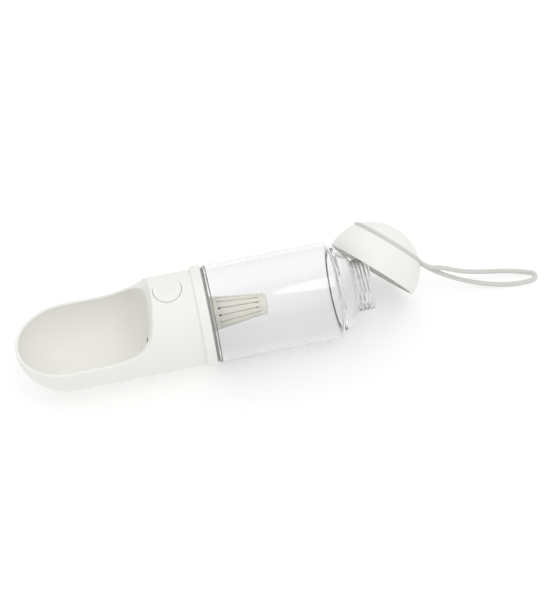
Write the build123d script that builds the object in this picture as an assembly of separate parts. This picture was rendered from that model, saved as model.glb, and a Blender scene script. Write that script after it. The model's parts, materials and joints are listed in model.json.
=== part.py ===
"""Dog travel water bottle: a clear bottle lying on its side, with a drinking trough screwed on one
end and its dome cap, taken off, leaning on the filling neck at the other end.

All sizes are millimetres. X runs along the bottle's axis, from the trough towards the filling neck,
Z is up through the trough's opening and the push button. The origin is the centre of the neck's mouth.
"""
from math import atan2, cos, pi, radians, sin, sqrt, tan
import os

from build123d import *

# ---------------------------------------------------------------- driving dimensions
# clear bottle
body_radius = 35.0
body_length = 90.3          # straight clear wall, from the joint with the head to the end corner
body_wall = 1.8
body_corner = 4.0           # rounding of the far end
step_radius = 30.0          # small annular step at the foot of the shoulder
step_height = 2.4
shoulder_height = 11.0
shoulder_crown = 1.7        # how far the shoulder bulges over its chord
neck_radius = 18.5
neck_length = 11.5
neck_wall = 2.0
spigot_radius = 29.9        # screwed mouth that enters the head
spigot_length = 11.0
spigot_wall = 2.4
spigot_corner = 0.6         # inside rounding where the wall turns in to the spigot

# joint between the bottle and the head
seal_thickness = 1.6
seal_radius = 33.8
thread_clearance = 0.3      # a moulded thread's play, between plain cylinders here
joint_gap = 0.05            # faces that only touch when the head is tight
overcut = 1.0               # a cutter runs this far past the face that it opens

# head base: the collar ring with the sleeve, the bulkhead and the valve column
collar_radius = 36.0
collar_width = 7.3
collar_rounding = 1.0
sleeve_length = 5.6         # enters the housing, left of the collar
bulkhead_thickness = 2.2
snap_bead = 0.4             # height of the bead that locks the sleeve in the housing
snap_bead_width = 1.6

# trough housing
housing_radius = 34.1
housing_wall = 2.2
housing_length = 29.6       # from the seam at the collar to the lip over the back wall
head_length = 130.3         # from that seam to the trough's tip
nose_length = 36.5          # rounded end of the trough
rim_height = 4.8            # height of the trough's rim over the axis
ramp_run = 26.0             # gentle rise of the rim towards the housing
ramp_rise = 6.0
bend_run = 8.1              # tight bend up to the lip
bend_rise = 9.4
wall_lean = 10.0            # lean of the back wall, degrees from upright
back_wall = 2.4
trough_fillet = 12.0        # between the back wall and the trough
rim_rounding = 0.8

# push button and its well
button_setback = 17.9       # from the collar's seam to the button's centre
button_radius = 10.0
button_clearance = 0.3
button_rise = 0.9           # the button stands this far proud of the housing
button_plate = 2.6
button_skirt = 1.5
button_depth = 6.4          # skirt below the plate
button_travel = 3.0
button_rounding = 0.8
stem_socket = 1.0           # the stem's end enters the button's plate this far
boss_radius = 3.0
boss_length = 5.0
grip_count = 3
grip_pitch = 4.0
grip_width = 1.2
grip_height = 0.5
grip_length = 9.0
well_wall = 1.5

# valve column, in the head base
column_radius = 7.5
column_top = 16.0
column_foot = -22.0
seat_level = -5.5           # ledge that the valve seat bears against
seat_thickness = 2.5
seat_hole = 2.8
chamber_radius = 4.2
lower_bore = 5.0
ledge_level = 5.0           # ledge under the stem seal
ledge_thickness = 1.5
ledge_hole = 3.0
stem_radius = 1.6
fit_gap = 0.05              # radial gap of parts that are fitted together
stem_gap = 0.08             # radial gap of the moving stem
seal_wire = 1.2             # thickness radius of the stem seal ring
bush_flange = 2.0
bush_flange_radius = 6.6
plug_radius = 4.0
plug_tip_radius = 2.9
plug_height = 3.8
stem_foot_radius = 2.6
stem_foot = 0.8
plug_cap_height = 3.0
plug_cap_flange = 1.6
plug_cap_flange_radius = 7.0
plug_cap_slot = 1.2
cap_seal_wire = 0.8
web_thickness = 2.0
web_height = 34.0
inlet_radius = 3.5
inlet_wall = 2.2
inlet_socket = 1.6          # depth that the valve's inlet enters the bulkhead

# button spring
spring_wire = 0.45          # radius of the wire
spring_radius = 4.4         # mean radius of the coil
spring_turns = 4
spring_samples = 48         # points in each turn where the gap between curls is measured

# outlet
outlet_level = -15.4
outlet_bore = 1.9
nipple_radius = 2.9
nipple_length = 4.0
outlet_sleeve = 4.0         # outer radius of the outlet tube
spout_radius = 2.7
spout_proud = 0.6

# filter
filter_spigot_radius = 6.5
filter_spigot_bore = 4.5
filter_spigot_gap = 1.0      # from the spigot's end to the bottle's joint
filter_radius = 12.0        # large end of the cage
filter_small_radius = 7.6
filter_reach = 37.0         # from the bottle's joint to the cage's far end
filter_wall = 1.3
filter_base_radius = 12.4
filter_base_length = 11.0
filter_base_front = 3.0     # from the bottle's joint to the front of the base
filter_base_rounding = 1.0
filter_flow_hole = 4.0
slot_count = 14
slot_width = 0.8
slot_margin = 2.4           # solid ring left at the cage's front
slot_far_margin = 1.8       # solid ring left at its far end
slot_eye = 0.8              # radius of the round opening at each end of a slot
end_cap_overhang = 0.25
end_cap_length = 3.5
end_cap_plug = 3.0
end_cap_rounding = 2.2
foam_thickness = 2.0
wrap_thickness = 0.7
wrap_setback = 2.0          # of the wrap from both ends of the core, beside the slots' eyes
layer_gap = 0.1             # between the filter's layers, end to end
filter_ring_wire = 0.9      # thickness of the sealing ring
filter_ring_setback = 3.5   # of that ring from the spigot's end

# dome cap, taken off
cap_radius = 34.4
cap_height = 34.5
cap_straight = 1.5
cap_crown = 37.0            # radius of the dome's crown
cap_wall = 2.0
cap_direction = 37.9        # heading of the cap's axis about Z, degrees from +X
cap_tilt = 31.6             # rise of that axis over the floor, degrees
cap_rim_centre_x = 5.8
cap_rim_centre_y = 17.7
liner_foot = 12.0           # height of the screwed liner's open end over the rim
liner_radius = 21.4
liner_bore = 19.4
liner_roof = 2.0
gasket_radius = 18.3
gasket_lip = 0.5
gasket_thickness = 1.5

# strap
strap_radius = 1.7
groove_height = 22.5        # of the strap's centre line over the cap's rim
groove_depth = 2.1
groove_clearance = 0.05
groove_wall = 1.6           # wall left behind the groove
strand_pitch = 1.85         # half the distance between the two strands at the tab
tab_length = 4.0
strap_exit_angle = 205.6    # where the strap leaves the groove, degrees round the cap's axis
strap_low_run = 7.0         # straight start of the low strand
strap_high_run = 4.5        # straight end of the high strand
strap_arc_share = 0.45      # of the shorter run beside a corner that its arc takes up
strap_points = [            # the loop's corners, from the low strand round the tip to the high strand
    (60.5, 7.8, -19.0),
    (75.5, 6.2, -27.3),
    (90.0, 5.0, -33.0),
    (100.0, 2.8, -34.2),
    (109.8, 1.0, -34.2),
    (119.6, 0.9, -34.2),
    (125.8, 2.1, -34.2),
    (126.2, 8.1, -34.2),
    (120.3, 10.1, -33.9),
    (110.5, 12.1, -32.0),
    (96.0, 11.9, -28.1),
    (81.5, 9.8, -22.5),
    (68.0, 8.2, -15.8),
    (54.8, 8.6, -8.3),
]

# ---------------------------------------------------------------- stations along the axis
x_neck = -neck_length
x_step = x_neck - shoulder_height
x_end = x_step - step_height
x_joint = x_end - body_length
x_collar = x_joint - seal_thickness
x_seam = x_collar - collar_width
x_tip = x_seam - head_length
x_lip = x_seam - housing_length
x_spigot = x_joint - spigot_length
x_bulkhead = x_seam - sleeve_length
x_button = x_seam - button_setback
floor_level = -collar_radius

housing_bore = housing_radius - housing_wall
sleeve_bore = spigot_radius + thread_clearance
sleeve_radius = housing_bore - fit_gap
lean = radians(wall_lean)
well_bore = button_radius + button_clearance
button_edge = sqrt((housing_radius + button_rise)**2 - button_radius**2)
button_underside = button_edge - button_plate
well_foot = button_underside - button_depth - button_travel
gland_bore = stem_radius + stem_gap + 2 * seal_wire + fit_gap
x_filter_ring = x_joint - filter_spigot_gap - filter_ring_setback
neck_seat_height = -x_end   # of the neck's mouth over the cap's rim when the cap is on


# ---------------------------------------------------------------- helpers
def turned(face):
    """Revolve a face drawn in the X-radius plane about the bottle's axis."""
    return revolve(face, Axis.X)


def ring(x_from, x_to, inner, outer):
    """A plain ring or disc about the bottle's axis."""
    start, end = min(x_from, x_to), max(x_from, x_to)
    body = Plane(origin=(start, 0, 0), z_dir=(1, 0, 0)) * extrude(Circle(outer), end - start)
    if inner > 0:
        body -= Plane(origin=(start, 0, 0), z_dir=(1, 0, 0)) * extrude(Circle(inner), end - start)
    return body


def tangent_side(crown, radius, reach):
    """Radius of the side arc that runs into a crown arc; its foot lies `reach` beyond the crown's centre."""
    return (reach**2 + radius**2 - crown**2) / (2 * (radius - crown))


def post(x, z_from, z_to, radius):
    """An upright cylinder."""
    low, high = min(z_from, z_to), max(z_from, z_to)
    return Pos(x, 0, low) * extrude(Circle(radius), high - low)


def rod_x(x_from, x_to, z, radius):
    """A cylinder along X on the symmetry plane."""
    start, end = min(x_from, x_to), max(x_from, x_to)
    return Plane(origin=(start, 0, z), z_dir=(1, 0, 0)) * extrude(Circle(radius), end - start)


def behind_wall(offset):
    """Everything on the trough's side of the leaning back wall, moved `offset` towards the bottle."""
    plane = Plane(
        origin=(x_lip + offset / cos(lean), 0, housing_radius),
        x_dir=(0, 1, 0),
        z_dir=(-cos(lean), 0, sin(lean)),
    )
    reach = 2.0 * head_length
    return plane * Pos(0, 0, reach / 2) * Box(reach, 2 * reach, reach)


# ---------------------------------------------------------------- clear bottle
def bottle_outline(inset):
    """Right-hand edges of the bottle's profile, from the straight wall to the mouth."""
    radius = body_radius - inset
    corner = body_corner - inset
    end = x_end - inset
    step = x_step - inset
    wall_start = x_joint + (inset and inset + spigot_corner)
    wall_end = Line((wall_start, radius), (end - corner, radius))
    corner_arc = RadiusArc((end - corner, radius), (end, radius - corner), corner)
    flat = Line((end, radius - corner), (end, step_radius - inset))
    riser = Line((end, step_radius - inset), (step, step_radius - inset))
    neck = neck_radius - (inset and neck_wall)
    dome = SagittaArc((step, step_radius - inset), (x_neck, neck), shoulder_crown)
    straight = Line((x_neck, neck), (0, neck))
    return [wall_end, corner_arc, flat, riser, dome, straight]


def make_bottle_body():
    outer = bottle_outline(0)
    inner = bottle_outline(body_wall)
    spigot_bore = spigot_radius - spigot_wall
    x_inside = x_joint + body_wall
    bore = body_radius - body_wall
    mouth_edges = [
        Line((x_spigot, spigot_bore), (x_spigot, spigot_radius)),
        Line((x_spigot, spigot_radius), (x_joint, spigot_radius)),
        Line((x_joint, spigot_radius), (x_joint, body_radius)),
        Line((0, neck_radius), (0, neck_radius - neck_wall)),
        Line((x_spigot, spigot_bore), (x_inside, spigot_bore)),
        Line((x_inside, spigot_bore), (x_inside, bore - spigot_corner)),
        RadiusArc((x_inside, bore - spigot_corner), (x_inside + spigot_corner, bore), spigot_corner),
    ]
    return turned(make_face(outer + inner + mouth_edges))


# ---------------------------------------------------------------- seal and head base
def make_main_seal():
    return ring(x_collar + joint_gap, x_joint - joint_gap, sleeve_bore, seal_radius)


def make_head_base():
    collar = ring(x_seam, x_collar, 0, collar_radius)
    collar = fillet(collar.edges().filter_by(GeomType.CIRCLE), collar_rounding)
    sleeve = ring(x_bulkhead, x_seam + collar_rounding, 0, sleeve_radius)
    bead = ring(x_bulkhead + snap_bead_width, x_bulkhead + 2 * snap_bead_width, 0, sleeve_radius + snap_bead)
    body = collar + sleeve + bead
    body -= ring(x_bulkhead + bulkhead_thickness, x_collar, 0, sleeve_bore)
    # spigot that carries the filter, with the socket of the valve's inlet behind it
    body += rod_x(x_bulkhead, x_joint - filter_spigot_gap, 0, filter_spigot_radius)
    body -= rod_x(x_bulkhead, x_joint, 0, filter_spigot_bore)
    body -= rod_x(x_bulkhead, x_bulkhead + inlet_socket, 0, inlet_radius + inlet_wall + fit_gap)
    # groove for the filter's ring
    groove_half = filter_ring_wire / 2 + fit_gap
    groove = ring(x_filter_ring - groove_half, x_filter_ring + groove_half,
                  filter_spigot_radius - filter_ring_wire, filter_spigot_radius + overcut)
    return body - groove


# ---------------------------------------------------------------- trough housing
def head_solid(inset, x_stop):
    """The head's round-nosed cylinder up to x_stop, drawn in by `inset`: a side arc and a crown arc."""
    radius = housing_radius - inset
    x_nose = x_tip + nose_length
    crown = housing_radius**2 / nose_length
    side = tangent_side(crown, housing_radius, nose_length - crown)
    crown_centre = Vector(x_tip + crown, 0)
    side_centre = Vector(x_nose, housing_radius - side)
    blend = crown_centre + (crown_centre - side_centre) * ((crown - inset) / (side - crown))
    edges = [
        TangentArc((x_nose, radius), (blend.X, blend.Y), tangent=(-1, 0)),
        TangentArc((x_tip + inset, 0), (blend.X, blend.Y), tangent=(0, 1)),
        Line((x_nose, radius), (x_stop, radius)),
        Line((x_stop, radius), (x_stop, 0)),
        Line((x_stop, 0), (x_tip + inset, 0)),
    ]
    return turned(make_face(edges))


def rim_profile():
    """Points of the rim seen from the side: flat, ramp, bend, then the lip's line."""
    ramp_angle = 2 * atan2(ramp_rise, ramp_run)
    lip_angle = 2 * atan2(bend_rise, bend_run) - ramp_angle
    bend_top = rim_height + ramp_rise + bend_rise
    x_bend = x_lip - (housing_radius - bend_top) / tan(lip_angle)
    lip_end = (x_bend + (2 * housing_radius - bend_top) / tan(lip_angle), 2 * housing_radius)
    ramp_start = (x_bend - bend_run - ramp_run, rim_height)
    ramp_end = (x_bend - bend_run, rim_height + ramp_rise)
    bend_end = (x_bend, bend_top)
    return ramp_start, ramp_end, bend_end, lip_end, ramp_angle


def rim_cutter():
    """Everything over the trough's S-shaped rim."""
    ramp_start, ramp_end, bend_end, lip_end, ramp_angle = rim_profile()
    far_left = x_tip - nose_length
    side = Plane.XZ
    edges = [
        Line((far_left, rim_height), ramp_start),
        TangentArc(ramp_start, ramp_end, tangent=(1, 0)),
        TangentArc(ramp_end, bend_end, tangent=(cos(ramp_angle), sin(ramp_angle))),
        Line(bend_end, lip_end),
        Line(lip_end, (far_left, lip_end[1])),
        Line((far_left, lip_end[1]), (far_left, rim_height)),
    ]
    profile = side * make_face(edges)
    return extrude(profile, 2 * housing_radius, both=True)


def rim_edges(body, cutter):
    """Long edges of the body that lie on the cutter's faces."""
    def lies_on_cut(edge):
        samples = [Vertex(*(edge @ share)) for share in (0.1, 0.5, 0.9)]
        return all(min(face.distance_to(sample) for face in cutter.faces()) < 0.001 for sample in samples)
    return [edge for edge in body.edges() if edge.length > back_wall and lies_on_cut(edge)]


def make_trough_housing():
    shell = head_solid(0, x_seam)
    bowl = head_solid(housing_wall, x_seam) & behind_wall(0)
    wall_face = bowl.faces().filter_by(GeomType.PLANE)[0]
    bowl = fillet(wall_face.edges(), trough_fillet)
    dry = ring(x_lip - housing_radius, x_seam, 0, housing_bore) - behind_wall(back_wall)
    body = shell - bowl - dry
    # well of the push button
    well = post(x_button, well_foot, housing_radius, well_bore + well_wall)
    well &= head_solid(housing_wall / 2, x_seam)
    body += well
    body -= post(x_button, well_foot - overcut, 2 * housing_radius, well_bore)
    # groove that locks the sleeve's bead
    groove_start = x_bulkhead + snap_bead_width - fit_gap
    groove_end = x_bulkhead + 2 * snap_bead_width + fit_gap
    body -= ring(groove_start, groove_end, 0, sleeve_radius + snap_bead + fit_gap)
    # hole of the outlet
    body -= rod_x(x_lip - housing_radius, x_button, outlet_level, spout_radius + fit_gap)
    cutter = rim_cutter()
    body -= cutter
    return fillet(rim_edges(body, cutter), rim_rounding)


# ---------------------------------------------------------------- valve
def make_valve_body():
    """Upright column of the valve, its inlet and web towards the bulkhead, and the nipple of its outlet."""
    x_inlet = x_bulkhead + inlet_socket - joint_gap
    x_web = x_bulkhead - joint_gap
    x_nipple = x_button - column_radius - nipple_length
    body = post(x_button, column_foot, column_top, column_radius)
    body += rod_x(x_button, x_inlet, 0, inlet_radius + inlet_wall)
    web = Box(x_web - x_button, web_thickness, web_height)
    body += Pos((x_web + x_button) / 2, 0, (column_top + column_foot) / 2) * web
    body += rod_x(x_button, x_nipple, outlet_level, nipple_radius)
    # bores of the column
    body -= post(x_button, column_foot, seat_level, lower_bore)
    body -= post(x_button, seat_level, ledge_level - ledge_thickness, chamber_radius)
    body -= post(x_button, ledge_level - ledge_thickness, ledge_level, ledge_hole)
    body -= post(x_button, ledge_level, column_top, gland_bore)
    # water ways in and out
    body -= rod_x(x_button, x_inlet, 0, inlet_radius)
    return body - rod_x(x_button, x_nipple, outlet_level, outlet_bore)


def make_valve_seat():
    seat = post(x_button, seat_level - seat_thickness, seat_level, lower_bore - fit_gap)
    return seat - post(x_button, seat_level - seat_thickness, seat_level, seat_hole)


def make_valve_plug():
    """Soft plug under the seat, pulled up against it by the button's spring."""
    top = seat_level - seat_thickness - joint_gap
    cone = Pos(x_button, 0, top - plug_height) * extrude(Circle(plug_radius), plug_height)
    tip = cone.edges().filter_by(GeomType.CIRCLE).sort_by(Axis.Z)[-1]
    cone = chamfer(tip, plug_radius - plug_tip_radius)
    return cone - post(x_button, top - plug_height, top, stem_radius)


def make_valve_stem():
    foot_top = seat_level - seat_thickness - joint_gap - plug_height
    shaft = post(x_button, foot_top, button_underside + stem_socket, stem_radius)
    return shaft + post(x_button, foot_top - stem_foot, foot_top, stem_foot_radius)


def make_stem_seal():
    middle = stem_radius + stem_gap + seal_wire
    profile = Plane.XZ * Pos(middle, ledge_level + seal_wire + fit_gap) * Circle(seal_wire)
    return Pos(x_button, 0, 0) * revolve(profile, Axis.Z)


def make_stem_bush():
    foot = ledge_level + 2 * seal_wire + 2 * fit_gap
    bush = post(x_button, foot, column_top, gland_bore - fit_gap)
    bush += post(x_button, column_top, column_top + bush_flange, bush_flange_radius)
    return bush - post(x_button, foot, column_top + bush_flange, stem_radius + stem_gap)


def make_column_plug():
    """Screwed plug that closes the foot of the valve column."""
    plug = post(x_button, column_foot, column_foot + plug_cap_height, lower_bore - fit_gap)
    plug += post(x_button, column_foot - plug_cap_flange, column_foot, plug_cap_flange_radius)
    slot = Box(2 * lower_bore, plug_cap_slot, plug_cap_flange)
    plug -= Pos(x_button, 0, column_foot - plug_cap_flange) * slot
    groove_z = column_foot + plug_cap_height / 2
    low, high = groove_z - cap_seal_wire, groove_z + cap_seal_wire
    groove = post(x_button, low, high, lower_bore) - post(x_button, low, high, lower_bore - 2 * cap_seal_wire)
    return plug - groove


def make_column_plug_seal():
    groove_z = column_foot + plug_cap_height / 2
    middle = lower_bore - cap_seal_wire - fit_gap / 2
    profile = Plane.XZ * Pos(middle, groove_z) * Circle(cap_seal_wire - fit_gap / 2)
    return Pos(x_button, 0, 0) * revolve(profile, Axis.Z)


def make_outlet_tube():
    """Soft tube from the valve column to the hole in the trough's back wall."""
    root = x_button - column_radius - fit_gap
    nipple_end = x_button - column_radius - nipple_length - fit_gap
    left = x_lip - housing_radius
    tube = rod_x(left, root, outlet_level, outlet_sleeve) - behind_wall(back_wall + fit_gap)
    tube += rod_x(left, root, outlet_level, spout_radius) - behind_wall(-spout_proud)
    tube -= rod_x(left, root, outlet_level, outlet_bore)
    return tube - rod_x(root, nipple_end, outlet_level, nipple_radius + fit_gap)


# ---------------------------------------------------------------- push button and spring
def make_push_button():
    crown = rod_x_surface(housing_radius + button_rise)
    plate = post(x_button, button_underside, 2 * housing_radius, button_radius) & crown
    plate = fillet(plate.edges().sort_by(SortBy.LENGTH)[-1], button_rounding)
    grip_crown = rod_x_surface(housing_radius + button_rise + grip_height)
    for i in range(grip_count):
        offset = (i - (grip_count - 1) / 2) * grip_pitch
        bar = extrude(Rectangle(grip_width, grip_length), housing_radius)
        plate += (Pos(x_button + offset, 0, button_underside) * bar) & grip_crown
    skirt = post(x_button, button_underside - button_depth, button_underside, button_radius)
    skirt -= post(x_button, button_underside - button_depth, button_underside, button_radius - button_skirt)
    boss = post(x_button, button_underside - boss_length, button_underside, boss_radius)
    body = plate + skirt + boss
    return body - post(x_button, button_underside - boss_length, button_underside + stem_socket, stem_radius)


def rod_x_surface(radius):
    """A cylinder along the bottle's axis, round the button."""
    return ring(x_button - 2 * button_radius, x_button + 2 * button_radius, 0, radius)


def coil_point(turn, pitch):
    """Point and direction of the spring's wire after a number of turns."""
    angle = 2 * pi * turn
    point = Vector(spring_radius * cos(angle), spring_radius * sin(angle), pitch * turn)
    heading = Vector(-sin(angle), cos(angle), pitch / (2 * pi * spring_radius)).normalized()
    return point, heading


def biarc(start, start_dir, end, end_dir):
    """Two tangent arcs from one point and direction to another."""
    chord = end - start
    swing = 1 - start_dir.dot(end_dir)
    along = chord.dot(start_dir + end_dir)
    reach = (sqrt(along**2 + 2 * swing * chord.dot(chord)) - along) / (2 * swing)
    first = start + start_dir * reach
    second = end - end_dir * reach
    middle = (first + second) * 0.5
    joint_dir = (second - first).normalized()
    return [TangentArc(start, middle, tangent=start_dir), TangentArc(middle, end, tangent=joint_dir)]


def make_button_spring():
    """One unbroken wire between the bush's flange and the button, on biarcs of a quarter turn."""
    low = column_top + bush_flange + spring_wire + joint_gap
    high = button_underside - spring_wire - joint_gap
    pitch = (high - low) / spring_turns
    arcs = []
    for quarter in range(4 * spring_turns):
        arcs += biarc(*coil_point(quarter / 4, pitch), *coil_point((quarter + 1) / 4, pitch))
    path = Wire(arcs)
    coil = sweep(Plane(origin=path @ 0, z_dir=path % 0) * Circle(spring_wire), path=path)
    samples = [coil_point(i / spring_samples, pitch)[0] for i in range(spring_samples * spring_turns + 1)]
    apart = min((a - b).length for i, a in enumerate(samples) for b in samples[i + spring_samples // 2:])
    print(f"button_spring least gap between curls {apart - 2 * spring_wire:.2f} mm")
    return Pos(x_button, 0, low) * coil


# ---------------------------------------------------------------- filter
def cage_radius(x):
    """Outer radius of the tapered cage, x measured from the front of the filter's base."""
    share = x / (filter_reach - filter_base_front)
    return filter_radius + (filter_small_radius - filter_radius) * share


def tapered(x_from, x_to, inset):
    """A tapered plug inside the cage's outer surface."""
    front = x_joint + filter_base_front
    edges = Polyline(
        (front + x_from, 0),
        (front + x_from, cage_radius(x_from) - inset),
        (front + x_to, cage_radius(x_to) - inset),
        (front + x_to, 0),
        close=True,
    )
    return turned(make_face(edges))


def make_filter_base():
    front = x_joint + filter_base_front
    back = front - filter_base_length
    body = ring(back, front, 0, filter_base_radius)
    body = fillet(body.edges().filter_by(GeomType.CIRCLE).sort_by(Axis.X)[0], filter_base_rounding)
    body -= ring(back, x_joint - filter_spigot_gap + fit_gap, 0, filter_spigot_radius + fit_gap)
    return body - ring(back, front, 0, filter_flow_hole)


def make_filter_ring():
    half = filter_ring_wire / 2
    return turned(Pos(x_filter_ring, filter_spigot_radius - half) * Circle(half))


def make_filter_cage():
    length = filter_reach - filter_base_front
    body = tapered(0, length, 0) - tapered(0, length, filter_wall)
    x_from = x_joint + filter_base_front + slot_margin + slot_eye
    x_to = x_joint + filter_reach - slot_far_margin - slot_eye
    slot = Pos((x_from + x_to) / 2, 0, filter_radius) * Box(x_to - x_from, slot_width, 2 * filter_radius)
    slot += post(x_from, 0, 2 * filter_radius, slot_eye)
    slot += post(x_to, 0, 2 * filter_radius, slot_eye)
    for i in range(slot_count):
        body -= Rot(i * 360 / slot_count, 0, 0) * slot
    return body


def make_filter_end_cap():
    length = filter_reach - filter_base_front
    front = x_joint + filter_base_front
    radius = filter_small_radius + end_cap_overhang
    start = front + length
    dome = ring(start, start + end_cap_length, 0, radius)
    dome = fillet(dome.edges().filter_by(GeomType.CIRCLE).sort_by(Axis.X)[-1], end_cap_rounding)
    plug = tapered(length - end_cap_plug, length, filter_wall + fit_gap)
    return dome + plug


def filling(inset, setback=0.0):
    """What fills the cage between the foam and the end cap's plug."""
    start = foam_thickness + 2 * layer_gap
    end = filter_reach - filter_base_front - end_cap_plug - layer_gap
    return tapered(start + setback, end - setback, filter_wall + inset)


def make_filter_foam():
    return tapered(layer_gap, layer_gap + foam_thickness, filter_wall + fit_gap)


def make_filter_wrap():
    return filling(fit_gap, wrap_setback) - filling(fit_gap + wrap_thickness, wrap_setback)


def make_filter_core():
    return filling(2 * fit_gap + wrap_thickness)


# ---------------------------------------------------------------- dome cap
heading = radians(cap_direction)
tilt = radians(cap_tilt)
cap_axis = Vector(cos(tilt) * cos(heading), cos(tilt) * sin(heading), sin(tilt))
cap_sideways = Vector(-sin(heading), cos(heading), 0)
cap_rim_centre = (cap_rim_centre_x, cap_rim_centre_y, floor_level + cap_radius * cos(tilt))
cap_plane = Plane(origin=cap_rim_centre, x_dir=cap_sideways, z_dir=cap_axis)
cap_crown_level = cap_height - cap_crown
cap_side = tangent_side(cap_crown, cap_radius, cap_straight - cap_crown_level)


def dome_radius(height):
    """Outer radius of the cap's side at a height over its rim."""
    return cap_radius - cap_side + sqrt(cap_side**2 - (height - cap_straight)**2)


def dome_face(inset, foot):
    """Half section of the cap's dome, filled, from `foot` up to its top: a side arc and a crown arc."""
    radius = cap_radius - inset
    top = cap_height - inset
    side_centre = Vector(cap_radius - cap_side, cap_straight)
    crown_centre = Vector(0, cap_crown_level)
    blend = crown_centre + (side_centre - crown_centre) * ((cap_crown - inset) / (cap_crown - cap_side))
    edges = [
        Line((0, foot), (radius, foot)),
        Line((radius, foot), (radius, cap_straight)),
        TangentArc((radius, cap_straight), (blend.X, blend.Y), tangent=(0, 1)),
        TangentArc((0, top), (blend.X, blend.Y), tangent=(1, 0)),
        Line((0, top), (0, foot)),
    ]
    return make_face(edges)


def strap_section(radius):
    """Round section of the strap in its groove, thickened to `radius`."""
    centre = dome_radius(groove_height) + strap_radius - groove_depth
    return Pos(centre, groove_height) * Circle(radius)


def strap_tab(margin):
    """The tab that joins the strap's two strands, pointing out of the groove."""
    start = dome_radius(groove_height) + strap_radius - groove_depth
    width = 2 * strand_pitch + 2 * strap_radius + 2 * margin
    thickness = 2 * strap_radius + 2 * margin
    across = Plane(origin=(start, 0, groove_height), x_dir=(0, 1, 0), z_dir=(1, 0, 0))
    block = across * extrude(SlotOverall(width, thickness), tab_length)
    return Rot(0, 0, strap_exit_angle) * block


def standing(face):
    """Revolve a half section about the cap's own axis."""
    return revolve(Plane.XZ * face, Axis.Z)


def make_cap_shell():
    section = dome_face(0, 0) - dome_face(cap_wall, -overcut)
    section += dome_face(0, 0) & strap_section(strap_radius + groove_wall)
    section -= strap_section(strap_radius + groove_clearance)
    return cap_plane * (standing(section) - strap_tab(groove_clearance))


def step_face(radius, low, high):
    """Half section of a disc between two heights over the cap's rim."""
    return Pos(radius / 2, (low + high) / 2) * Rectangle(radius, high - low)


def make_cap_liner():
    seat = neck_seat_height + gasket_thickness
    section = dome_face(cap_wall + fit_gap, 0) & step_face(liner_radius, liner_foot, seat + liner_roof)
    section -= strap_section(strap_radius + groove_wall + fit_gap)
    section -= step_face(liner_bore, liner_foot - overcut, neck_seat_height - gasket_lip)
    section -= step_face(gasket_radius + fit_gap, neck_seat_height - gasket_lip - overcut, seat)
    return cap_plane * standing(section)


def make_cap_gasket():
    disc = extrude(Circle(gasket_radius), gasket_thickness - fit_gap)
    return cap_plane * Pos(0, 0, neck_seat_height) * disc


# ---------------------------------------------------------------- strap
def make_strap_ring():
    """The strap's ring in the cap's groove, with the tab that pinches its strands together."""
    ring_body = standing(strap_section(strap_radius))
    return cap_plane * (ring_body + strap_tab(0))


def strap_start(side):
    """Where a strand leaves the tab, and the way it points."""
    radius = dome_radius(groove_height) + strap_radius - groove_depth + tab_length
    turn = Rot(0, 0, strap_exit_angle)
    place = cap_plane * turn * Pos(radius, side * strand_pitch, groove_height)
    ahead = cap_plane * turn * Pos(radius + 1, side * strand_pitch, groove_height)
    return place.position, ahead.position - place.position


def strap_route():
    """The loop's corners: out of the tab, along the floor and back."""
    low_start, low_dir = strap_start(1)
    high_start, high_dir = strap_start(-1)
    middle = [Vector(point) for point in strap_points]
    return [low_start, low_start + low_dir * strap_low_run, *middle,
            high_start + high_dir * strap_high_run, high_start]


def corner_radii(route):
    """As large an arc at each corner as its two runs allow."""
    radii = []
    for before, corner, after in zip(route, route[1:], route[2:]):
        turn = (corner - before).get_angle(after - corner)
        shorter = min((corner - before).length, (after - corner).length)
        radii.append(strap_arc_share * shorter / tan(radians(turn / 2)))
    return radii


def make_strap_loop():
    route = strap_route()
    radii = corner_radii(route)
    print("strap_loop radii", [round(radius, 1) for radius in radii])
    path = FilletPolyline(*route, radius=radii)
    tube = sweep(Plane(origin=path @ 0, z_dir=path % 0) * Circle(strap_radius), path=path)
    expected = pi * strap_radius**2 * path.length
    print(f"strap_loop length {path.length:.1f} mm, volume {tube.volume:.0f} of {expected:.0f} mm3")
    return tube


nodes = {
    "bottle_body": make_bottle_body,
    "main_seal": make_main_seal,
    "head_base": make_head_base,
    "trough_housing": make_trough_housing,
    "valve_body": make_valve_body,
    "valve_seat": make_valve_seat,
    "valve_plug": make_valve_plug,
    "valve_stem": make_valve_stem,
    "stem_seal": make_stem_seal,
    "stem_bush": make_stem_bush,
    "column_plug": make_column_plug,
    "column_plug_seal": make_column_plug_seal,
    "outlet_tube": make_outlet_tube,
    "push_button": make_push_button,
    "button_spring": make_button_spring,
    "filter_base": make_filter_base,
    "filter_ring": make_filter_ring,
    "filter_cage": make_filter_cage,
    "filter_end_cap": make_filter_end_cap,
    "filter_foam": make_filter_foam,
    "filter_wrap": make_filter_wrap,
    "filter_core": make_filter_core,
    "cap_shell": make_cap_shell,
    "cap_liner": make_cap_liner,
    "cap_gasket": make_cap_gasket,
    "strap_ring": make_strap_ring,
    "strap_loop": make_strap_loop,
}

os.makedirs("parts", exist_ok=True)
for name, maker in nodes.items():
    solid = maker()
    export_step(solid, f"parts/{name}.step")
    print(name, f"{solid.volume:.1f} mm3")
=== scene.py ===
# %% [markdown]
# # A dog's travel bottle, dressed for its photograph
#
# The engineering model gives every piece its place and size: a clear bottle on its side, a white
# drinking trough screwed on one end, and a dome cap that was taken off and left leaning on the
# filling neck. This script keeps those pieces where they are and gives each one a finish. Three of
# them are made again, because their form needs more than the engineering model holds: the soft
# strap, the clear bottle with its screw threads, and the button's spring, which has to shorten.

import json
import math

import bmesh
import bpy
from mathutils import Matrix, Vector


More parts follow.
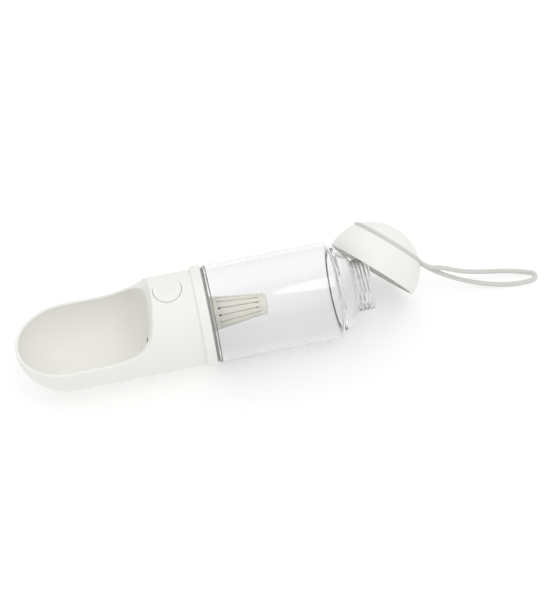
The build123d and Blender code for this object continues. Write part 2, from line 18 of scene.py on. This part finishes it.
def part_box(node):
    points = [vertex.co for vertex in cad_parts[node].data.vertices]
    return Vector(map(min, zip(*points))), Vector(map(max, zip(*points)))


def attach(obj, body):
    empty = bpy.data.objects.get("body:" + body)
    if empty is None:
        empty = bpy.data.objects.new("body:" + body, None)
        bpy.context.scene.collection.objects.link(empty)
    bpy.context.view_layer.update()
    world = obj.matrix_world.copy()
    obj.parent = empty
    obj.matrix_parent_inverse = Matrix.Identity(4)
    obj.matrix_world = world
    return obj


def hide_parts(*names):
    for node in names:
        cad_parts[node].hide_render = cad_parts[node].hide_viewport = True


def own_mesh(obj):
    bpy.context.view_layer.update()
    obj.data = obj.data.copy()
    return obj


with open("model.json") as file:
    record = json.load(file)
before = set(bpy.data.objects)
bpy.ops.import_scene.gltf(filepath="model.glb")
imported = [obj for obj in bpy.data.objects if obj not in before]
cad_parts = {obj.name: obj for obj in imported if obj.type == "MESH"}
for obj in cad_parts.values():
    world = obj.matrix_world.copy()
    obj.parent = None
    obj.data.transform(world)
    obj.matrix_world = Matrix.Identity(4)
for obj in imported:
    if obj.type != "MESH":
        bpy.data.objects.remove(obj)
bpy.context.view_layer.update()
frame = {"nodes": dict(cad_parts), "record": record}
nodes = frame["nodes"]

MM = 0.001

# %% [markdown]
# ## The camera
#
# The photograph was taken from in front of the bottle and well above it, with a long lens. The
# camera's place and its directions were fitted to the bottle's outlines, so the picture's edges
# fall where the photograph's do. A camera looks along its own -Z, so its matrix has the directions
# "right", "up" and "backwards" as columns. The fitted ones are squared up first, because a matrix
# with directions that aren't at right angles would shear the picture.

# %% Camera
PHOTO_HEIGHT = 600
FOCAL_PIXELS = 1413.0
CAMERA_PLACE = Vector((-0.1360, -0.6548, 0.7570))

camera_right = Vector((0.9788, -0.1891, -0.0785)).normalized()
camera_back = Vector((-0.0658, -0.6538, 0.7538))
camera_back = (camera_back - camera_right * camera_back.dot(camera_right)).normalized()
camera_up = camera_back.cross(camera_right)

camera_data = bpy.data.cameras.new("camera")
camera_data.sensor_width = 36.0
camera_data.lens = FOCAL_PIXELS / PHOTO_HEIGHT * camera_data.sensor_width
camera_data.clip_end = 20.0
camera = bpy.data.objects.new("camera", camera_data)
bpy.context.scene.collection.objects.link(camera)
placing = Matrix((camera_right, camera_up, camera_back)).transposed().to_4x4()
placing.translation = CAMERA_PLACE
camera.matrix_world = placing
bpy.context.scene.camera = camera
print("lens", round(camera_data.lens, 2), "mm")

# %% [markdown]
# ## The strap's free loop
#
# The carrying strap is a round silicone cord. Out of the cap's groove its two strands run side by
# side, drop to the table in one easy curve, and turn back on themselves in a narrow loop. It could
# be a tube of joined segments, but a curve with a round bevel bends without kinks: the points
# below are the corners of its route, and a smooth spline of low order is drawn along them.

# %% Route of the strap, in millimetres
STRAP_RADIUS = 1.7 * MM
strap_corners = [
    (43.35, 13.27, -7.50),
    (48.48, 9.26, -10.07),
    (60.5, 7.8, -19.0),
    (75.5, 6.2, -27.3),
    (90.0, 5.0, -33.0),
    (100.0, 2.8, -34.2),
    (109.8, 1.0, -34.2),
    (119.6, 0.9, -34.2),
    (125.8, 2.1, -34.2),
    (126.2, 8.1, -34.2),
    (120.3, 10.1, -33.9),
    (110.5, 12.1, -32.0),
    (96.0, 11.9, -28.1),
    (81.5, 9.8, -22.5),
    (68.0, 8.2, -15.8),
    (54.8, 8.6, -8.3),
    (46.25, 8.36, -6.31),
    (42.95, 10.93, -4.66),
]
print("strap corners", len(strap_corners))

# %% Strap curve
STEPS_PER_CORNER = 10
STEPS_ROUND_CORD = 6


def route_curve(name, points, radius):
    """A round cord drawn smoothly along its route's corners, which are in millimetres.

    The bevel is one metre deep and every point carries the cord's true radius, which scales it
    down. So the curve's bounding box, which grows by its points' radii, keeps the cord's size.
    """
    data = bpy.data.curves.new(name, "CURVE")
    data.dimensions = "3D"
    data.resolution_u = STEPS_PER_CORNER
    data.bevel_depth = 1.0
    data.bevel_resolution = STEPS_ROUND_CORD
    data.use_fill_caps = True
    spline = data.splines.new("NURBS")
    spline.points.add(len(points) - 1)
    for point, corner in zip(spline.points, points):
        point.co = (*[value * MM for value in corner], 1.0)
        point.radius = radius
    spline.order_u = 3
    spline.use_endpoint_u = True
    cord = bpy.data.objects.new(name, data)
    bpy.context.scene.collection.objects.link(cord)
    return cord


strap_cord = route_curve("strap_cord", strap_corners, STRAP_RADIUS)
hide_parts("strap_loop")
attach(strap_cord, "cap")

# %% [markdown]
# ## Turned pieces
#
# A bottle is blown or moulded round an axis, so its wall is one closed outline turned through a
# full circle. The outline is laid out with a few corners, each with the rounding that the mould
# gives it, and then spun. The corners' roundings are made by bevelling the outline's own points,
# which keeps the numbers few and each of them a real size.

# %% Lathe
LATHE_STEPS = 192
ROUNDING_STEPS = 8
SAME_POINT = 0.002 * MM
SHARP_ANGLE = 35.0


def outline(corners):
    """A closed outline in the plane of the axis. Corners are (x, radius, rounding), in mm."""
    mesh = bmesh.new()
    points = [mesh.verts.new((x * MM, 0.0, radius * MM)) for x, radius, _ in corners]
    mesh.faces.new(points)
    for point, (_, _, rounding) in zip(points, corners):
        if rounding:
            bmesh.ops.bevel(mesh, geom=[point], offset=rounding * MM, offset_type="OFFSET",
                            segments=ROUNDING_STEPS, profile=0.5, affect="VERTICES", material=-1)
    bmesh.ops.delete(mesh, geom=list(mesh.faces), context="FACES_ONLY")
    return mesh


def spin_about_x(mesh):
    """Turns an open mesh's edges through a full circle about the bottle's axis."""
    bmesh.ops.spin(mesh, geom=list(mesh.verts) + list(mesh.edges), cent=(0, 0, 0), axis=(1, 0, 0),
                   angle=math.tau, steps=LATHE_STEPS, use_merge=True)
    bmesh.ops.remove_doubles(mesh, verts=mesh.verts, dist=SAME_POINT)
    bmesh.ops.recalc_face_normals(mesh, faces=mesh.faces)


def add_piece(mesh, name):
    """Makes an object of a finished bmesh: smooth, with its sharp corners kept."""
    data = bpy.data.meshes.new(name)
    for face in mesh.faces:
        face.smooth = True
    mesh.to_mesh(data)
    mesh.free()
    data.set_sharp_from_angle(angle=math.radians(SHARP_ANGLE))
    piece = bpy.data.objects.new(name, data)
    bpy.context.scene.collection.objects.link(piece)
    print(name, len(data.polygons), "faces")
    return piece


print("lathe", LATHE_STEPS, "steps,", ROUNDING_STEPS, "in each rounding")

# %% [markdown]
# ## The clear bottle
#
# The body is one clear wall: a straight tube with a rounded end corner, a small step, a domed
# shoulder and the screwed filling neck. At the other end a narrower screwed mouth enters the head.
# The wall is 1.8 mm thick, and the flat ring at the tube's end is thinner, because light that is
# caught in it draws a dark line there. The outline runs along the outside from the mouth to the
# neck and back along the inside.

# %% Clear bottle's wall
MOUTH_X, JOINT_X, END_X, STEP_X, NECK_X, RIM_X = -126.2, -115.2, -24.9, -22.5, -11.5, 0.0
BODY_R, STEP_R, NECK_R, SPIGOT_R = 35.0, 30.0, 18.5, 29.9
WALL, END_WALL, NECK_WALL, SPIGOT_WALL = 1.8, 1.1, 2.0, 2.4
SHOULDER_OUTSIDE = (-14.43, 26.71, 8.2)
SHOULDER_INSIDE = (-15.54, 25.19, 8.3)

bottle_corners = [
    (MOUTH_X, SPIGOT_R, 0.5),
    (JOINT_X, SPIGOT_R, 0.0),
    (JOINT_X, BODY_R, 0.4),
    (END_X, BODY_R, 4.0),
    (END_X, STEP_R, 0.3),
    (STEP_X, STEP_R, 0.3),
    SHOULDER_OUTSIDE,
    (NECK_X, NECK_R, 0.4),
    (RIM_X, NECK_R, 0.5),
    (RIM_X, NECK_R - NECK_WALL, 0.5),
    (NECK_X, NECK_R - NECK_WALL, 0.8),
    SHOULDER_INSIDE,
    (STEP_X - WALL, STEP_R - WALL, 0.2),
    (END_X - END_WALL, STEP_R - WALL, 0.2),
    (END_X - END_WALL, BODY_R - WALL, 2.6),
    (JOINT_X + WALL, BODY_R - WALL, 0.4),
    (JOINT_X + WALL, SPIGOT_R - SPIGOT_WALL, 0.3),
    (MOUTH_X, SPIGOT_R - SPIGOT_WALL, 0.4),
]
bottle_mesh = outline(bottle_corners)
print("bottle outline", len(bottle_mesh.verts), "points")

# %% [markdown]
# ## Screw threads
#
# The cap screws on the filling neck and the head on the mouth, and both threads show through the
# clear plastic. A helix could be swept as a bar of its own, but it would have to be joined into the
# wall. So the two straight lengths are cut into short ones before the spin, and afterwards every
# point on them moves in or out by a wave that climbs one pitch for each turn round the axis and
# dies out towards both ends.

# %% Screw threads
NECK_CUTS, SPIGOT_CUTS = 72, 60
ON_RADIUS = 0.01
FLAT_TOP = 1.35


def split_along(mesh, radius, cuts):
    """Cuts the outline's longest edge at a radius into short ones, so that a thread can bend it."""
    level = [edge for edge in mesh.edges
             if all(abs(vert.co.z - radius * MM) < ON_RADIUS * MM for vert in edge.verts)]
    longest = max(level, key=lambda edge: edge.calc_length())
    bmesh.ops.subdivide_edges(mesh, edges=[longest], cuts=cuts)


def raise_thread(mesh, radius, x_from, x_to, pitch, crest, root):
    """Moves the wall at a radius in or out along a right-handed helix, all in millimetres.

    The wave is stretched by FLAT_TOP and cut off at 1, which gives the thread a flat crest.
    """
    for vert in mesh.verts:
        distance = math.hypot(vert.co.y, vert.co.z) / MM
        x = vert.co.x / MM
        if abs(distance - radius) > ON_RADIUS or not x_from < x < x_to:
            continue
        turn = math.atan2(vert.co.z, vert.co.y) / math.tau
        phase = (x / pitch - turn) % 1.0
        wave = 0.5 - 0.5 * math.cos(math.tau * phase)
        lift = root + (crest - root) * min(1.0, FLAT_TOP * wave)
        fade = min(1.0, (x - x_from) / pitch, (x_to - x) / pitch)
        vert.co.yz *= 1.0 + lift * fade / radius


split_along(bottle_mesh, NECK_R, NECK_CUTS)
split_along(bottle_mesh, SPIGOT_R, SPIGOT_CUTS)
spin_about_x(bottle_mesh)
raise_thread(bottle_mesh, NECK_R, NECK_X + 0.5, RIM_X - 0.6, pitch=2.6, crest=0.40, root=-0.45)
raise_thread(bottle_mesh, SPIGOT_R, MOUTH_X + 0.8, JOINT_X - 0.6, pitch=4.5, crest=0.1, root=-0.7)
clear_bottle = add_piece(bottle_mesh, "clear_bottle")
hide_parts("bottle_body")
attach(clear_bottle, "bottle")

# %% [markdown]
# ## The button's spring
#
# Pressing the button shortens the spring below it, which a stiff piece can't do. The wire is wound
# again here, on the same centre line as the engineering one: a small circle, the wire's section, is
# spun round the button's axis and climbs a little with each step.

# %% Button's spring
SPRING_WIRE = 0.45 * MM
SPRING_R = 4.4 * MM
SPRING_TURNS = 4
STEPS_PER_TURN = 32
POINTS_ROUND_WIRE = 12


def wound_spring(name, foot, head_level):
    """A round wire wound upwards from its foot, the centre of its lowest curl, in metres."""
    steps = SPRING_TURNS * STEPS_PER_TURN
    start = Matrix.Translation(foot + Vector((SPRING_R, 0, 0))) @ Matrix.Rotation(math.pi / 2, 4, "X")
    mesh = bmesh.new()
    bmesh.ops.create_circle(mesh, segments=POINTS_ROUND_WIRE, radius=SPRING_WIRE, matrix=start)
    bmesh.ops.spin(mesh, geom=list(mesh.verts) + list(mesh.edges), cent=foot, axis=(0, 0, 1),
                   dvec=(0, 0, (head_level - foot.z) / steps), angle=math.tau * SPRING_TURNS,
                   steps=steps, use_merge=False)
    bmesh.ops.holes_fill(mesh, edges=mesh.edges, sides=0)
    bmesh.ops.recalc_face_normals(mesh, faces=mesh.faces)
    return add_piece(mesh, name)


spring_low, spring_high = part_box("button_spring")
spring_foot = Vector(((spring_low[0] + spring_high[0]) / 2, 0.0, spring_low[2] + SPRING_WIRE))
spring_coil = wound_spring("spring_coil", spring_foot, spring_high[2] - SPRING_WIRE)
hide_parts("button_spring")
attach(spring_coil, "head")
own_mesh(spring_coil)

# %% [markdown]
# ## Finishes
#
# Nearly everything here is moulded plastic or rubber. A moulded surface is never perfectly even:
# it has a fine spark-eroded grain and its shine drifts a little from place to place. One node
# group makes both from two noises and hands out a colour, a roughness and a height, and each
# material gives it its own amounts.

# %% Moulded surface group
DRIFT_SCALE = 40.0
GRAIN_DETAIL, DRIFT_DETAIL = 2.0, 3.0
DRIFT_LOW, DRIFT_HIGH = 0.3, 0.7


def moulded_group():
    """Two tones and two roughnesses mixed by a slow drift, and a fine grain as a height."""
    group = bpy.data.node_groups.new("Moulded surface", "ShaderNodeTree")
    sockets = (("INPUT", "NodeSocketColor", ("Tone A", "Tone B")),
               ("INPUT", "NodeSocketFloat", ("Grain Scale", "Roughness Low", "Roughness High")),
               ("OUTPUT", "NodeSocketColor", ("Color",)),
               ("OUTPUT", "NodeSocketFloat", ("Roughness", "Height")))
    for in_out, kind, names in sockets:
        for name in names:
            group.interface.new_socket(name, in_out=in_out, socket_type=kind)
    add, link = group.nodes.new, group.links.new
    entry, leave = add("NodeGroupInput"), add("NodeGroupOutput")
    place = add("ShaderNodeTexCoord")
    grain, drift = add("ShaderNodeTexNoise"), add("ShaderNodeTexNoise")
    grain.inputs["Detail"].default_value = GRAIN_DETAIL
    drift.inputs["Detail"].default_value = DRIFT_DETAIL
    drift.inputs["Scale"].default_value = DRIFT_SCALE
    tones = add("ShaderNodeMix")
    tones.data_type = "RGBA"
    shine = add("ShaderNodeMapRange")
    shine.inputs["From Min"].default_value = DRIFT_LOW
    shine.inputs["From Max"].default_value = DRIFT_HIGH
    link(place.outputs["Object"], grain.inputs["Vector"])
    link(place.outputs["Object"], drift.inputs["Vector"])
    link(entry.outputs["Grain Scale"], grain.inputs["Scale"])
    link(drift.outputs["Fac"], tones.inputs["Factor"])
    link(entry.outputs["Tone A"], tones.inputs["A"])
    link(entry.outputs["Tone B"], tones.inputs["B"])
    link(drift.outputs["Fac"], shine.inputs["Value"])
    link(entry.outputs["Roughness Low"], shine.inputs["To Min"])
    link(entry.outputs["Roughness High"], shine.inputs["To Max"])
    link(tones.outputs["Result"], leave.inputs["Color"])
    link(shine.outputs["Result"], leave.inputs["Roughness"])
    link(grain.outputs["Fac"], leave.inputs["Height"])
    return group


moulded_surface = moulded_group()
print("moulded surface", len(moulded_surface.nodes), "nodes")

# %% Material maker
GRAIN_SCALE = 2500.0
GRAIN_HEIGHT = 0.01


def moulded(name, tone_a, tone_b, roughness, grain_scale=GRAIN_SCALE, grain_height=GRAIN_HEIGHT,
            plain_values=None):
    """A Principled material fed by the moulded surface group; its grain's height is in mm.

    Plain values are set on the shader's own sockets, because they are the same all over.
    """
    material = bpy.data.materials.new(name)
    material.use_nodes = True
    add, link = material.node_tree.nodes.new, material.node_tree.links.new
    shader = material.node_tree.nodes["Principled BSDF"]
    surface = add("ShaderNodeGroup")
    surface.node_tree = moulded_surface
    surface.inputs["Tone A"].default_value = (*tone_a, 1.0)
    surface.inputs["Tone B"].default_value = (*tone_b, 1.0)
    surface.inputs["Grain Scale"].default_value = grain_scale
    surface.inputs["Roughness Low"].default_value = roughness[0]
    surface.inputs["Roughness High"].default_value = roughness[1]
    bump = add("ShaderNodeBump")
    bump.inputs["Strength"].default_value = 1.0
    bump.inputs["Distance"].default_value = grain_height * MM
    link(surface.outputs["Color"], shader.inputs["Base Color"])
    link(surface.outputs["Roughness"], shader.inputs["Roughness"])
    link(surface.outputs["Height"], bump.inputs["Height"])
    link(bump.outputs["Normal"], shader.inputs["Normal"])
    for socket_name, value in (plain_values or {}).items():
        shader.inputs[socket_name].default_value = value
    return material


# %% Plastics, rubbers, steel and filter layers
finishes = {
    "white_plastic": moulded(
        "white plastic", (0.83, 0.825, 0.79), (0.815, 0.81, 0.775), (0.42, 0.50),
        grain_height=0.006),
    "cream_plastic": moulded(
        "cream plastic", (0.99, 0.97, 0.875), (0.98, 0.955, 0.855), (0.40, 0.48)),
    "stem_plastic": moulded(
        "stem plastic", (0.70, 0.71, 0.72), (0.66, 0.67, 0.68), (0.30, 0.38)),
    "grey_rubber": moulded(
        "grey rubber", (0.36, 0.36, 0.35), (0.32, 0.32, 0.31), (0.60, 0.72)),
    "strap_grey": moulded(
        "grey silicone", (0.62, 0.615, 0.585), (0.58, 0.575, 0.545), (0.55, 0.65)),
    "spring_steel": moulded(
        "spring steel", (0.60, 0.60, 0.61), (0.52, 0.52, 0.54), (0.22, 0.32),
        plain_values={"Metallic": 1.0}),
    "foam": moulded(
        "open foam", (0.70, 0.69, 0.64), (0.58, 0.57, 0.52), (0.9, 1.0),
        grain_scale=900.0, grain_height=0.2),
    "fleece": moulded(
        "fleece", (0.92, 0.91, 0.86), (0.86, 0.85, 0.80), (0.9, 1.0),
        grain_scale=1200.0, grain_height=0.1),
    "carbon": moulded(
        "carbon grains", (0.03, 0.03, 0.03), (0.008, 0.008, 0.008), (0.6, 0.9),
        grain_scale=1500.0, grain_height=0.3),
}
print("finishes", len(finishes))

# %% [markdown]
# ## The clear plastic
#
# The bottle is clear, with a soft grey outline wherever one looks along its wall. Glass that only
# bends light would leave those edges too pale, and a grey tint on the surface would darken the
# whole bottle. So the wall itself takes a little of the light that passes inside it: a short way
# straight through costs almost nothing, and the long way along the edge turns grey.

# %% Clear plastic
CLEAR_IOR = 1.43
WALL_TINT = (0.50, 0.53, 0.52, 1.0)
WALL_DENSITY = 5.0

finishes["clear_plastic"] = moulded(
    "clear plastic", (0.985, 0.989, 0.988), (0.975, 0.980, 0.979), (0.015, 0.03),
    grain_scale=60.0, plain_values={"Transmission Weight": 1.0, "IOR": CLEAR_IOR})
clear_tree = finishes["clear_plastic"].node_tree
absorption = clear_tree.nodes.new("ShaderNodeVolumeAbsorption")
absorption.inputs["Color"].default_value = WALL_TINT
absorption.inputs["Density"].default_value = WALL_DENSITY
clear_tree.links.new(absorption.outputs["Volume"], clear_tree.nodes["Material Output"].inputs["Volume"])
print("clear plastic, index of refraction", CLEAR_IOR)

# %% [markdown]
# ## Dressing the pieces
#
# Each piece gets one finish. They could be given out piece by piece, but the engineering model's
# record already names a finish for every piece, so one loop over it dresses them all. Only the
# three pieces that were made in this script are named here.

# %% Dress every piece
for part in frame["record"]["subparts"]:
    piece = nodes[part["node"]]
    piece.data.materials.clear()
    piece.data.materials.append(finishes[part["material_slot"]])
made_here = ((clear_bottle, "clear_plastic"), (strap_cord, "strap_grey"), (spring_coil, "spring_steel"))
for piece, finish in made_here:
    piece.data.materials.append(finishes[finish])

# %% [markdown]
# ## The table
#
# The photograph's table is white, has no edge, and its shadows only darken close to the object. A
# plain white floor would take on deep shadows, and a backdrop with a bend would show from the
# side. So the table is one wide flat sheet, 0.05 mm below the lowest piece, that glows a little as
# if it were lit from below.

# %% Table
FLOOR_Z = -36.05 * MM
TABLE_HALF = 15.0
TABLE_TONE = (0.46, 0.46, 0.46, 1.0)
TABLE_GLOW = 0.52
WHITE = (1.0, 1.0, 1.0, 1.0)

table_mesh = bmesh.new()
bmesh.ops.create_grid(table_mesh, x_segments=1, y_segments=1, size=TABLE_HALF)
bmesh.ops.translate(table_mesh, verts=table_mesh.verts, vec=(0, 0, FLOOR_Z))
table = add_piece(table_mesh, "table")
table_material = bpy.data.materials.new("table")
table_material.use_nodes = True
table_shader = table_material.node_tree.nodes["Principled BSDF"]
table_shader.inputs["Base Color"].default_value = TABLE_TONE
table_shader.inputs["Emission Color"].default_value = WHITE
table_shader.inputs["Emission Strength"].default_value = TABLE_GLOW
table_shader.inputs["Roughness"].default_value = 0.7
table.data.materials.append(table_material)

# %% [markdown]
# ## The lights
#
# Soft light comes from everywhere, more of it from overhead. A ring of large lamps could do that,
# but each would show as a patch in the clear wall, so the sky itself gives the light, and it
# brightens from the horizon upwards. One round lamp, high on the front right, gives the clear
# bottle its long highlight.

# %% Sky
BRIGHT_SKY, DIM_SKY = 1.14, 0.62
DIM_HEIGHT, BRIGHT_HEIGHT = -0.1, 0.9

world = bpy.data.worlds.new("studio")
world.use_nodes = True
bpy.context.scene.world = world
add, link = world.node_tree.nodes.new, world.node_tree.links.new
background = world.node_tree.nodes["Background"]
background.inputs["Color"].default_value = WHITE
direction, height = add("ShaderNodeTexCoord"), add("ShaderNodeSeparateXYZ")
brightness = add("ShaderNodeMapRange")
brightness.inputs["From Min"].default_value = DIM_HEIGHT
brightness.inputs["From Max"].default_value = BRIGHT_HEIGHT
brightness.inputs["To Min"].default_value = DIM_SKY
brightness.inputs["To Max"].default_value = BRIGHT_SKY
link(direction.outputs["Generated"], height.inputs["Vector"])
link(height.outputs["Z"], brightness.inputs["Value"])
link(brightness.outputs["Result"], background.inputs["Strength"])
print("sky from", DIM_SKY, "to", BRIGHT_SKY)

# %% Key lamp
LAMP_SIZE = 0.5
LAMP_POWER = 1.4
LAMP_PLACE = Vector((0.24, -0.38, 1.0))
LAMP_TARGET = Vector((-0.08, 0.0, 0.0))

lamp_data = bpy.data.lights.new("key lamp", "AREA")
lamp_data.shape = "DISK"
lamp_data.size = LAMP_SIZE
lamp_data.energy = LAMP_POWER
key_lamp = bpy.data.objects.new("key lamp", lamp_data)
bpy.context.scene.collection.objects.link(key_lamp)
lamp_turn = (LAMP_PLACE - LAMP_TARGET).to_track_quat("Z", "Y")
key_lamp.matrix_world = Matrix.Translation(LAMP_PLACE) @ lamp_turn.to_matrix().to_4x4()
print("key lamp", round((LAMP_PLACE - LAMP_TARGET).length, 2), "m away")

# %% Picture's tones
bpy.context.scene.view_settings.view_transform = "Standard"
bpy.context.scene.view_settings.look = "None"
print("view", bpy.context.scene.view_settings.view_transform)

# %% Finish
bpy.context.view_layer.update()
